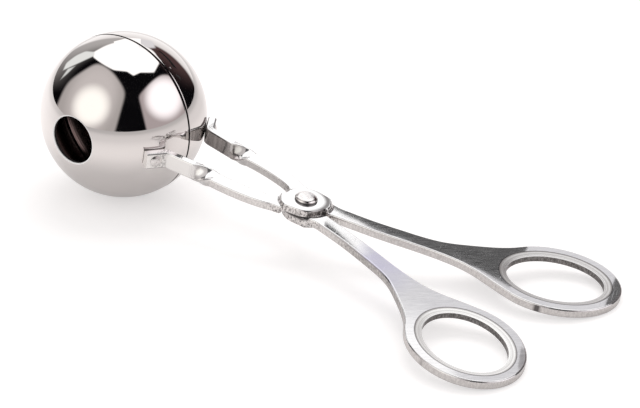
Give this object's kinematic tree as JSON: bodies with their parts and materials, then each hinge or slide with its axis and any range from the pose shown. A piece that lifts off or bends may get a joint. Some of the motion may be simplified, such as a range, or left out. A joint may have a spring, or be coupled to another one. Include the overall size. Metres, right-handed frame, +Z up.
{
  "type": "meatball maker",
  "caption": "Crossed tongs with finger loops that close hollow half-ball cups into a ball to shape meatballs, with an outlet hole in each cup.",
  "frame": {"origin": "on the surface the closed tool rests on, under the centre of its bounding box", "axes": "+X from the ball towards the finger loops, +Z up; the near cup and the lower arm's finger loop are on the -Y side"},
  "size_m": [0.1744, 0.078, 0.048],
  "materials": {
    "polished_steel": "mirror polish",
    "satin_steel": "satin brushed",
    "rivet_steel": "polished"
  },
  "bodies": {
    "lower": {"lower_arm": "satin_steel", "far_cup": "polished_steel", "far_cup_rivet": "rivet_steel", "pivot_rivet": "rivet_steel"},
    "upper": {"upper_arm": "satin_steel", "near_cup": "polished_steel", "near_cup_rivet": "rivet_steel"}
  },
  "joints": [
    {"name": "pivot", "type": "hinge", "parent": "lower", "child": "upper", "pos_m": [0.00146, 0, 0.01418], "axis": [0.1502, 0, 0.9887], "range_deg": [0, 55]}
  ]
}
